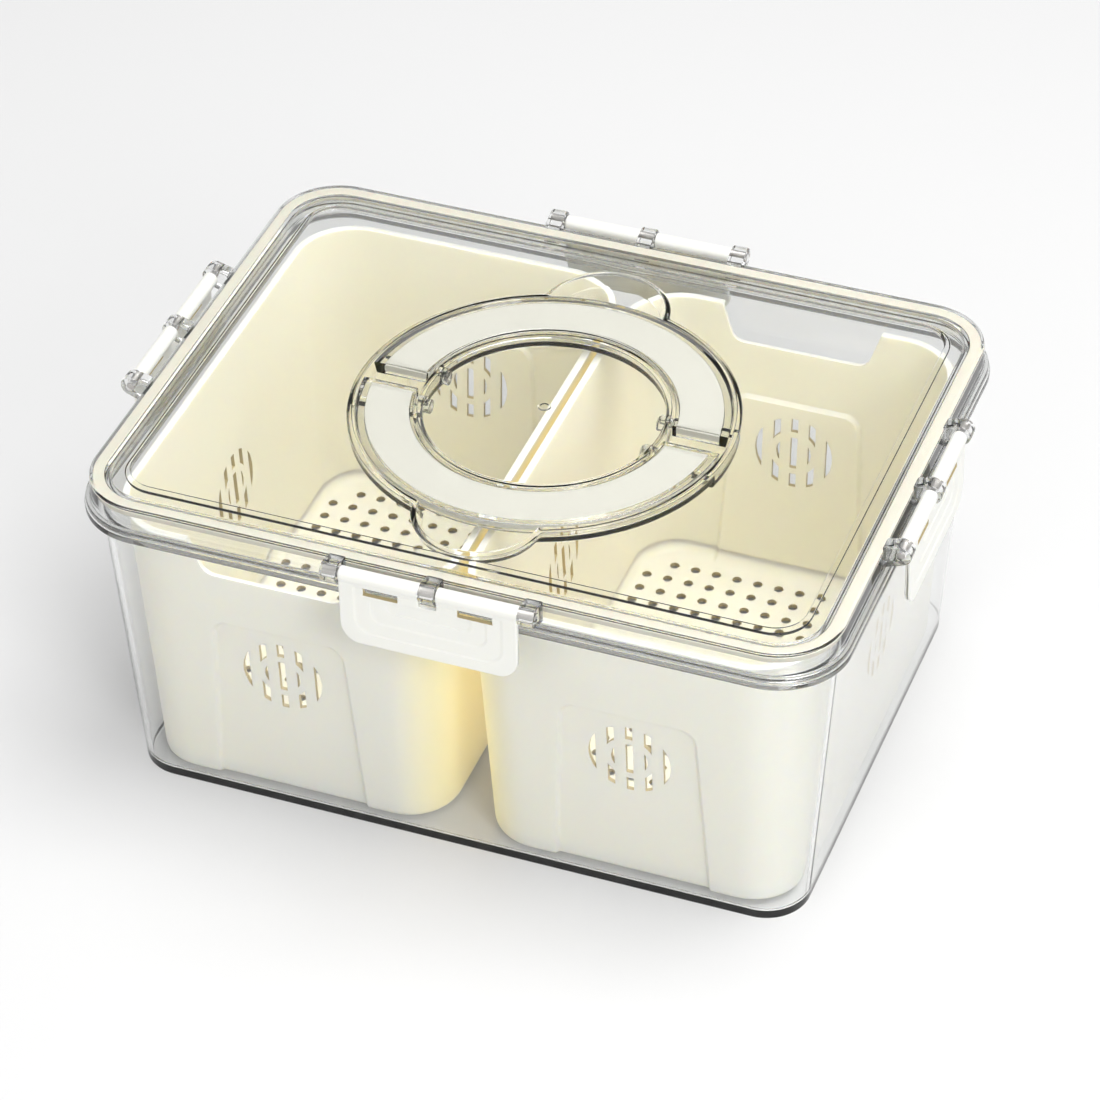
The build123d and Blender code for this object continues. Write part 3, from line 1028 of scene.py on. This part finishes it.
def ring_section():
    """The clear ring's section: a channel open below, with rounded edges."""
    e = sizes().edge_round / MM
    top = PANEL_TOP
    return rounded_path([
        (RING_IN_R, RING_BOTTOM), (RING_IN_R, top), (RING_OUT_R, top), (RING_FOOT_R, RING_BOTTOM),
        (BAND_OUT_R + 0.05, RING_BOTTOM), (BAND_OUT_R + 0.05, top - RING_SKIN),
        (BAND_IN_R - 0.05, top - RING_SKIN), (BAND_IN_R - 0.05, RING_BOTTOM),
    ], [e, e, e, e, 0.2, 0.2, 0.2, 0.2], 4, closed=True)


def ring_lift(section, share):
    """Closes the channel near the ring's ends, where its end walls are."""
    if RING_WALL_SHARE < share < 1 - RING_WALL_SHARE:
        return section
    radius, z = section.T
    inside = (radius > BAND_IN_R - 0.3) & (radius < BAND_OUT_R + 0.3) & (z < PANEL_TOP - 1)
    return coordinates(radius, np.where(inside, RING_BOTTOM, z))


def band_section():
    """The cream band's section: a bar with rounded edges that fills the ring's channel."""
    e = 0.35
    low, high = BAND_BOTTOM, PANEL_TOP - RING_SKIN - 0.06
    return rounded_path([
        (BAND_IN_R, low), (BAND_IN_R, high), (BAND_OUT_R, high), (BAND_OUT_R, low),
    ], [e, e, e, e], 4, closed=True)


def basket_size(z, inwards=0.0):
    """Half width, half depth and corner radius of a basket's wall at height z, drawn in evenly."""
    t = (np.asarray(z, float) - BASKET_Z) / (BASKET_TOP - BASKET_Z)
    hx, hy, r = (a + (b - a) * t for a, b in zip(BASKET_FOOT, BASKET_MOUTH))
    return hx - inwards, hy - inwards, r - inwards


def pane_depth(x, z):
    """How far the end wall steps in for the recessed panel: a ramp over the signed distance to a
    trapezoid with rounded upper corners."""
    slope = (PANE_FOOT - PANE_HEAD) / 2 / (PANE_TOP - BASKET_Z)
    half = PANE_HEAD / 2 + (PANE_TOP - z) * slope
    away = PANE_R - past_corner(np.abs(x) - (half - PANE_R), z - (PANE_TOP - PANE_R))
    return PANE_DEEP * smooth(away / 1.6 + 0.5)


def basket_loops(size):
    """Loops round the basket, whose end walls have finer columns near their panel's sides. Shape
    (rows, cols, 2)."""
    hx, hy, r = (np.atleast_1d(np.asarray(v, float))[:, None] for v in size)
    fine = np.linspace(0.5, 0.76, 22)
    coarse = np.linspace(0.78, 1, 5)
    end = np.concatenate([-coarse[::-1], -fine[::-1], np.linspace(-0.45, 0.45, 12), fine, coarse])
    side = np.linspace(-1, 1, 9)
    front = coordinates((hx - r) * end, -hy)
    right = coordinates(hx, (hy - r) * side)
    quarter = np.linspace(0, math.pi / 2, 15)[1:-1]
    parts = [front]
    corners = ((1, -1), (1, 1), (-1, 1), (-1, -1))
    for i, ((sx, sy), run) in enumerate(zip(corners, (right, -front, -right, None))):
        a = (i - 1) * math.pi / 2 + quarter
        parts.append(coordinates(sx * (hx - r) + r * np.cos(a), sy * (hy - r) + r * np.sin(a)))
        if run is not None:
            parts.append(run)
    return np.concatenate(parts, axis=1)


def basket_wall(z, inwards):
    """Rows of the basket's wall at heights z, drawn in by inwards, with its end panels."""
    z = np.asarray(z, float)
    inwards = np.broadcast_to(np.asarray(inwards, float), z.shape)
    loops = basket_loops(basket_size(z, inwards))
    rows = at_heights(loops, z)
    x, y = rows[..., 0], rows[..., 1]
    on_end = np.abs(x) < END_HALF
    rows[..., 1] = y - np.where(on_end, np.sign(y) * pane_depth(x, rows[..., 2]), 0)
    return rows


def basket_rings():
    """A basket's closed skin: under the floor, up the outer wall, over the lip and down inside."""
    heights = np.concatenate([
        np.linspace(BASKET_Z + 4, 78, 24), np.linspace(79, 90, 16),
        np.linspace(94, BASKET_TOP - 3.4, 8),
    ])
    q = np.linspace(0, math.pi / 2, 6)
    sin, cos = np.sin(q), np.cos(q)
    e = 0.5
    low = BASKET_TOP - 1.4
    lip = np.concatenate([
        [(0, low), (-BASKET_LIP + 0.3, low), (-BASKET_LIP, low + 0.3)],
        coordinates(-BASKET_LIP + e - e * cos, BASKET_TOP - e + e * sin),
        coordinates(BASKET_WALL - e + e * sin, BASKET_TOP - e + e * cos),
    ])
    floor = BASKET_Z + BASKET_WALL
    foot = BASKET_FOOT_R * (1 - sin), BASKET_FOOT_R * (1 - cos)
    inner = BASKET_FLOOR_R * (1 - sin[::-1]), BASKET_FLOOR_R * (1 - cos[::-1])
    return np.concatenate([
        basket_wall([BASKET_Z], FLOOR_INSET),
        basket_wall(BASKET_Z + foot[1], foot[0]),
        basket_wall(heights, 0),
        basket_wall(lip[:, 1], lip[:, 0]),
        basket_wall(heights[::-1], BASKET_WALL),
        basket_wall(floor + inner[1], BASKET_WALL + inner[0]),
        basket_wall([floor], FLOOR_INSET),
    ])


def between_curves(x, high, low):
    """The outline between two curves over the same x."""
    return np.concatenate([coordinates(x, high), coordinates(x, low)[::-1]])


def vent_outlines():
    """Outlines of the vent's slots: upright strips of a disc with a ring left uncut in them."""
    inner, outer = VENT_RING
    shapes = []
    for k in range(-2, 3):
        x = np.linspace(k * VENT_PITCH - VENT_SLOT / 2, k * VENT_PITCH + VENT_SLOT / 2, 7)
        rim, out, mid = (np.sqrt(np.maximum(r ** 2 - x ** 2, 0)) for r in (VENT_R, outer, inner))
        if abs(k) == 2:
            shapes.append(between_curves(x, rim, -rim))
            continue
        shapes += [between_curves(x, sign * out, sign * rim) for sign in (-1, 1)]
        keep = mid > 0
        if not keep.all():
            tip = math.copysign(inner, k)
            x = np.append(x[keep], tip) if k > 0 else np.insert(x[keep], 0, tip)
            mid = np.sqrt(np.maximum(inner ** 2 - x ** 2, 0)) + 0.02
        shapes.append(between_curves(x, mid, -mid))
    return shapes


def drain_centres():
    """Centres of the drain holes: a square grid kept off the floor's edge and round corners."""
    hx, hy, r = (float(v) for v in basket_size(BASKET_Z))
    centres = []
    for i in range(-7, 8):
        for j in range(-11, 12):
            x, y = i * DRAIN_PITCH, j * DRAIN_PITCH
            corner = math.hypot(max(abs(x) - (hx - r), 0), max(abs(y) - (hy - r), 0))
            if max(abs(x) - hx, abs(y) - hy, corner - r) <= -DRAIN_MARGIN:
                centres.append((x, y))
    return centres


def basket_cutters():
    """Closed prisms for all that is cut through a basket: vents, drain holes and the grip."""
    made = []
    half_x, half_y, _ = basket_size(VENT_Z)
    for shape in vent_outlines():
        shape = shape + np.array([0, VENT_Z])
        for side in (-1, 1):
            for axis, half in (("Y", half_y), ("X", half_x)):
                wall = side * half
                made.append(prism("vent", shape, axis, wall - CUT_REACH, wall + CUT_REACH))
    a = np.linspace(0, 2 * math.pi, 16, endpoint=False)
    circle = coordinates(np.cos(a), np.sin(a)) * sizes().drain_radius / MM
    for centre in drain_centres():
        made.append(prism("drain", circle + np.array(centre), "Z", BASKET_Z - 2, BASKET_Z + 4))
    foot, mouth, low = GRIP_NOTCH
    high = BASKET_TOP + 3
    spread = foot + (mouth - foot) * (high - low) / (BASKET_TOP - low)
    path = [(-foot, low), (foot, low), (spread, high), (-spread, high)]
    notch = rounded_path(path, [6, 6, 0, 0], 8, closed=True)
    y = -basket_size(BASKET_TOP)[1]
    made.append(prism("grip", notch, "Y", y - CUT_REACH - 1, y + CUT_REACH + 1))
    return made


def mark_basket(mesh, points):
    """Marks a basket's points and faces from its points, drawn about its own middle. The attribute
    inside runs from 0 on the outer face to 1 on the inner one: the depth from the tapered outer
    face, less the panel's step, or the height over the base, over the wall's thickness. It places
    the painted light inside the basket. The attribute facing is 1 on the wall beside the other
    basket and fades round its corners, and places the painted light and glow between the baskets.
    Faces that reach through the wall below the grip get the second material, the painted shade of
    the holes."""
    x, y, z = points.T
    hx, hy, r = basket_size(z)
    dx, dy = np.abs(x) - (hx - r), np.abs(y) - (hy - r)
    step = np.where((np.abs(x) < END_HALF) & (dy > dx), pane_depth(x, z), 0)
    depth = np.minimum(r - past_corner(dx, dy) - step, z - BASKET_Z)
    through = np.clip(depth / BASKET_WALL, 0, 1)
    # The attributes inside and facing place the painted light in the basket's colour and glow
    facing = np.where(x > 0, smooth(dx / r), 0) * (1 - through) * smooth((BASKET_TOP - 2 - z) / 6)
    for name, values in (("inside", through), ("facing", facing)):
        mesh.attributes.new(name, "FLOAT", "POINT").data.foreach_set("value", values)
    corners, starts = corners_of(mesh)
    deepest = np.maximum.reduceat(through[corners], starts)
    shallowest = np.minimum.reduceat(through[corners], starts)
    top = np.maximum.reduceat(z[corners], starts)
    # Painted shade on the walls of the vents and drain holes
    add_material(mesh, basket_painted_hole_shade(), (deepest - shallowest > 0.8) & (top < GRIP_NOTCH[2] - 8))


def paint_step_shade(mesh):
    """Gives the painted step shade's material to the step's faces along the panel's front and right
    edges:
    those near the panel's outline, on the front right of the line through its other two corners. It
    paints there the dark line that refraction shows."""
    x, y, z = centres_of(mesh).T
    hx, hy, r = RIM_HALF_X - PANEL_INSET, RIM_HALF_Y - PANEL_INSET, PANEL_R
    away = past_corner(np.abs(x) - (hx - r), np.abs(y) - (hy - r)) - r
    on_step = (np.abs(away) < 0.2) & (z > PANEL_TOP + 0.05)
    # Painted shade: the dark step line, painted on the front and right step only
    add_material(mesh, painted_step_shade(), on_step & (x * hy > y * hx))


def box_path(s, z, half_s, half_z, radii, steps):
    """A rectangle about (s, z) with rounded corners, from its lower left corner round."""
    corners = [(s - half_s, z - half_z), (s + half_s, z - half_z),
               (s + half_s, z + half_z), (s - half_s, z + half_z)]
    return rounded_path(corners, radii, steps, closed=True)


def latch_cutters():
    """Closed prisms for a latch's notch round the middle lug and its two slots."""
    low, top = HINGE_Z - NOTCH_DROP, HINGE_Z + BARREL_R + 2
    shapes = [box_path(0, (top + low) / 2, NOTCH_HALF, (top - low) / 2, [0.8, 0.8, 0, 0], 4)]
    for s in (-SLOT_S, SLOT_S):
        shapes.append(box_path(s, SLOT_Z, SLOT_W / 2, SLOT_H / 2, [0.4] * 4, 3))
    return [prism("opening", shape, "Y", HINGE_OUT - 6, HINGE_OUT + 6) for shape in shapes]


def on_slot_walls(mesh):
    """Which faces of a latch, drawn on the back side, are the walls of its slots."""
    s, _, z = centres_of(mesh).T
    across, up = np.abs(np.abs(s) - SLOT_S), np.abs(z - SLOT_Z)
    near = 0.02
    return (across < SLOT_W / 2 + near) & (up < SLOT_H / 2 + near)


# Operators


class FRIDGEBOX_OT_outer_box(bpy.types.Operator):
    """Builds the clear outer box"""

    bl_idname = "fridgebox.outer_box"
    bl_label = "Outer Box"

    def execute(self, context):
        obj = closed_tube("outer_box_shell", box_rings())
        dress(obj, clear_plastic(), "box", "clear_plastic", "outer_box")
        return {"FINISHED"}


class FRIDGEBOX_OT_lid(bpy.types.Operator):
    """Builds the clear lid with its groove, lugs and sockets"""

    bl_idname = "fridgebox.lid"
    bl_label = "Lid"

    def execute(self, context):
        obj = closed_tube("lid_shell", lid_rows())
        dress(obj, clear_plastic(), "lid", "clear_plastic", "lid")
        # Paints the dark step line into the lid as painted shade
        paint_step_shade(obj.data)
        for name in SIDES:
            for i, s in enumerate((-LUG_PITCH, 0, LUG_PITCH)):
                lug = closed_ring("lid_lug_%s_%d" % (name, i), on_side(lug_rings(s), name))
                dress(lug, clear_plastic(), "lid", "clear_plastic")
        for x, across in ENDS:
            for y, along in ((-1, "front"), (1, "back")):
                x0, x1 = sorted((x * SOCKET_END_X, x * (GROOVE_IN_R - GROOVE_WALL - 0.9)))
                eye = rod("lid_socket_%s_%s" % (across, along), SOCKET_R, x0, x1,
                          y * PIVOT_Y, PIVOT_Z - SOCKET_DROP)
                dress(eye, clear_plastic(), "lid", "clear_plastic")
        return {"FINISHED"}


class FRIDGEBOX_OT_seal(bpy.types.Operator):
    """Builds the white seal under the lid's rim"""

    bl_idname = "fridgebox.seal"
    bl_label = "Seal"

    def execute(self, context):
        gap = 0.15
        low, high = LIP_TOP + gap, RIM_TOP - PLATE - gap
        outer, inner = SKIRT_WALL + gap, PLUG_INSET - gap
        path = [(outer, low), (outer, high), (inner, high), (inner, low)]
        inset, z = rounded_path(path, [0.4] * 4, 4, closed=True).T
        half_x, half_y = RIM_HALF_X - inset, RIM_HALF_Y - inset
        loops = rounded_loops(half_x, half_y, rim_radius(inset), corner=20, side=8)
        seal = closed_ring("seal_ring", at_heights(loops, z))
        dress(seal, seal_rubber(), "lid", "seal_rubber", "lid_gasket")
        return {"FINISHED"}


class FRIDGEBOX_OT_baskets(bpy.types.Operator):
    """Builds the two cream draining baskets"""

    bl_idname = "fridgebox.baskets"
    bl_label = "Baskets"

    def execute(self, context):
        shell = closed_tube("basket_left_shell", basket_rings(), crease=40)
        cut(shell, basket_cutters())
        points = points_of(shell.data)
        other = bpy.data.objects.new("basket_right_shell", shell.data.copy())
        bpy.context.scene.collection.objects.link(other)
        half = np.array([BASKET_PITCH / 2, 0, 0])
        move_points(shell.data, points - half)
        move_points(other.data, points * np.array([-1, -1, 1]) + half)
        for obj, body in ((shell, "basket_left"), (other, "basket_right")):
            dress(obj, basket_plastic(), body, "basket_cream", body)
            mark_basket(obj.data, points)
        return {"FINISHED"}


class FRIDGEBOX_OT_latches(bpy.types.Operator):
    """Builds the four latches and their hinge rods"""

    bl_idname = "fridgebox.latches"
    bl_label = "Latches"

    def execute(self, context):
        reach = LUG_PITCH + LUG_W / 2 - 0.5
        for name in SIDES:
            body = "latch_" + name
            flap = closed_tube(body + "_flap", latch_rings(), crease=50)
            cut(flap, latch_cutters())
            slots = on_slot_walls(flap.data)
            place_on_side(flap, name)
            dress(flap, latch_plastic(), body, "latch_white", body)
            # Painted shade on the slot walls
            add_material(flap.data, latch_painted_slot_shade(), slots)
            hook = closed_tube(body + "_hook", on_side(latch_hook(), name))
            dress(hook, latch_plastic(), body, "latch_white")
            pin = rod("latch_pin_%s_rod" % name, PIN_R, -reach, reach, HINGE_OUT, HINGE_Z)
            place_on_side(pin, name)
            dress(pin, pin_steel(), "lid", "pin_steel", "latch_pin_" + name)
        return {"FINISHED"}


class FRIDGEBOX_OT_handle(bpy.types.Operator):
    """Builds the handle's two clear half rings and their cream bands"""

    bl_idname = "fridgebox.handle"
    bl_label = "Handle"

    def execute(self, context):
        band_end = RING_END_Y + RING_END_WALL + 0.05
        for name, side in (("front", -1), ("back", 1)):
            body = "handle_" + name
            ring = half_ring(body + "_ring", side, ring_section(), RING_END_Y, ring_lift)
            dress(ring, clear_plastic(), body, "clear_plastic", body)
            band = half_ring(body + "_band", side, band_section(), band_end)
            dress(band, band_plastic(), body, "band_cream", "handle_band_" + name)
            for x, across in ENDS:
                x0, x1 = sorted((x * TRUNNION_TIP_X, x * (RING_IN_R - 1.2)))
                pin = rod("%s_trunnion_%s" % (body, across), TRUNNION_R, x0, x1,
                          side * PIVOT_Y, PIVOT_Z)
                dress(pin, clear_plastic(), body, "clear_plastic")
        return {"FINISHED"}


def lamp(name, size, energy, location):
    """A soft area lamp, turned to face the box."""
    data = bpy.data.lights.new(name, "AREA")
    data.shape = "RECTANGLE"
    data.size, data.size_y = size
    data.energy = energy
    obj = bpy.data.objects.new(name, data)
    obj.location = location
    aim = Vector(LAMP_AIM) - Vector(location)
    obj.rotation_euler = aim.to_track_quat("-Z", "Y").to_euler()
    bpy.context.scene.collection.objects.link(obj)


def stage_material():
    """White floor: a matt surface that holds the shadow, lifted a little where it is seen directly
    or through gloss or glass."""
    mat, tree, bsdf, out = new_material("Stage White")
    bsdf.inputs["Base Color"].default_value = opaque(colours().stage)
    bsdf.inputs["Roughness"].default_value = 0.9
    path = add_node(tree, "LightPath").outputs
    seen = added(tree, path["Is Camera Ray"], path["Is Glossy Ray"], path["Is Transmission Ray"])
    none = add_node(tree, "Emission", {"Strength": 0.0})
    glow = add_node(tree, "Emission", {"Strength": FLOOR_GLOW})
    mix = add_node(tree, "MixShader", {"Fac": seen, 1: none.outputs[0], 2: glow.outputs[0]})
    add = add_node(tree, "AddShader", {0: bsdf.outputs[0], 1: mix.outputs[0]})
    fill(tree, out.inputs["Surface"], add.outputs[0])
    return mat


def studio_light(tree):
    """World light: plain for diffuse rays, white where the camera sees it, and for gloss and clear
    plastic a studio that is white at the horizon, dim above it and bright overhead."""
    ground = tree.nodes["Background"]
    ground.inputs["Color"].default_value = opaque((1.0, 1.0, 1.0))
    place = add_node(tree, "TexCoord").outputs["Generated"]
    height = add_node(tree, "SeparateXYZ", {0: place}).outputs["Z"]
    ramp = add_node(tree, "ValToRGB", {"Fac": height})
    elements = ramp.color_ramp.elements
    elements.remove(elements[1])
    elements[0].position = STUDIO_LEVELS[0][0]
    for position, _ in STUDIO_LEVELS[1:]:
        elements.new(position)
    for element, (_, level) in zip(elements, STUDIO_LEVELS):
        element.color = opaque((level, level, level))
    path = add_node(tree, "LightPath").outputs
    plain = mixed(tree, "FLOAT", path["Is Camera Ray"], WORLD_DIFFUSE, 1.0)
    bounced = added(tree, path["Is Glossy Ray"], path["Is Transmission Ray"])
    strength = mixed(tree, "FLOAT", bounced, plain, ramp.outputs["Color"])
    fill(tree, ground.inputs["Strength"], strength)


def photo_camera():
    """The camera as fitted to the photograph."""
    a, b = math.radians(CAMERA_AZIMUTH), math.radians(CAMERA_ELEVATION)
    away = Vector((math.sin(a) * math.cos(b), -math.cos(a) * math.cos(b), math.sin(b)))
    camera = bpy.data.objects.new("camera", bpy.data.cameras.new("camera"))
    camera.data.lens = CAMERA_LENS
    camera.data.sensor_width = SENSOR
    camera.data.clip_end = 50.0
    camera.rotation_mode = "QUATERNION"
    camera.location = Vector(CAMERA_TARGET) * MM + away * CAMERA_DISTANCE * MM
    roll = Matrix.Rotation(math.radians(CAMERA_ROLL), 3, "Z")
    facing = (-away).to_track_quat("-Z", "Y").to_matrix()
    camera.rotation_quaternion = (facing @ roll).to_quaternion()
    bpy.context.scene.collection.objects.link(camera)
    return camera


class FRIDGEBOX_OT_stage(bpy.types.Operator):
    """Builds the floor, the lamps, the world and the camera"""

    bl_idname = "fridgebox.stage"
    bl_label = "Stage"

    def execute(self, context):
        scene = bpy.context.scene
        scene.view_settings.view_transform = "Standard"
        half = FLOOR_HALF
        corners = [(-half, -half, 0), (half, -half, 0), (half, half, 0), (-half, half, 0)]
        mesh = bpy.data.meshes.new("stage_floor")
        mesh.from_pydata(corners, [], [(0, 1, 2, 3)])
        floor = bpy.data.objects.new("stage_floor", mesh)
        floor.location.z = -FLOOR_DROP
        scene.collection.objects.link(floor)
        mesh.materials.append(stage_material())

        scene.world = bpy.data.worlds.new("Studio")
        scene.world.use_nodes = True
        studio_light(scene.world.node_tree)
        for name, size, energy, location in LAMPS:
            lamp(name, size, energy, location)
        scene.camera = photo_camera()
        return {"FINISHED"}


class FRIDGEBOX_PT_panel(bpy.types.Panel):
    """Lists the box's sizes, colours and pieces"""

    bl_label = "Fridge Box"
    bl_idname = "FRIDGEBOX_PT_panel"
    bl_space_type = "VIEW_3D"
    bl_region_type = "UI"
    bl_category = "Fridge Box"

    def draw(self, context):
        layout = self.layout
        for group in (context.scene.fridge_box_sizes, context.scene.fridge_box_colours):
            for name in group.__annotations__:
                layout.prop(group, name)
        for operator in OPERATORS:
            layout.operator(operator.bl_idname)


OPERATORS = (
    FRIDGEBOX_OT_outer_box,
    FRIDGEBOX_OT_baskets,
    FRIDGEBOX_OT_seal,
    FRIDGEBOX_OT_lid,
    FRIDGEBOX_OT_handle,
    FRIDGEBOX_OT_latches,
    FRIDGEBOX_OT_stage,
)
CLASSES = (BoxSizes, BoxColours) + OPERATORS + (FRIDGEBOX_PT_panel,)


def register():
    for cls in CLASSES:
        bpy.utils.register_class(cls)
    bpy.types.Scene.fridge_box_sizes = PointerProperty(type=BoxSizes)
    bpy.types.Scene.fridge_box_colours = PointerProperty(type=BoxColours)


def unregister():
    del bpy.types.Scene.fridge_box_colours
    del bpy.types.Scene.fridge_box_sizes
    for cls in reversed(CLASSES):
        bpy.utils.unregister_class(cls)


def main():
    register()
    bpy.ops.fridgebox.outer_box()
    bpy.ops.fridgebox.baskets()
    bpy.ops.fridgebox.seal()
    bpy.ops.fridgebox.lid()
    bpy.ops.fridgebox.handle()
    bpy.ops.fridgebox.latches()
    bpy.ops.fridgebox.stage()
    bpy.context.view_layer.update()


if __name__ == "__main__":
    main()
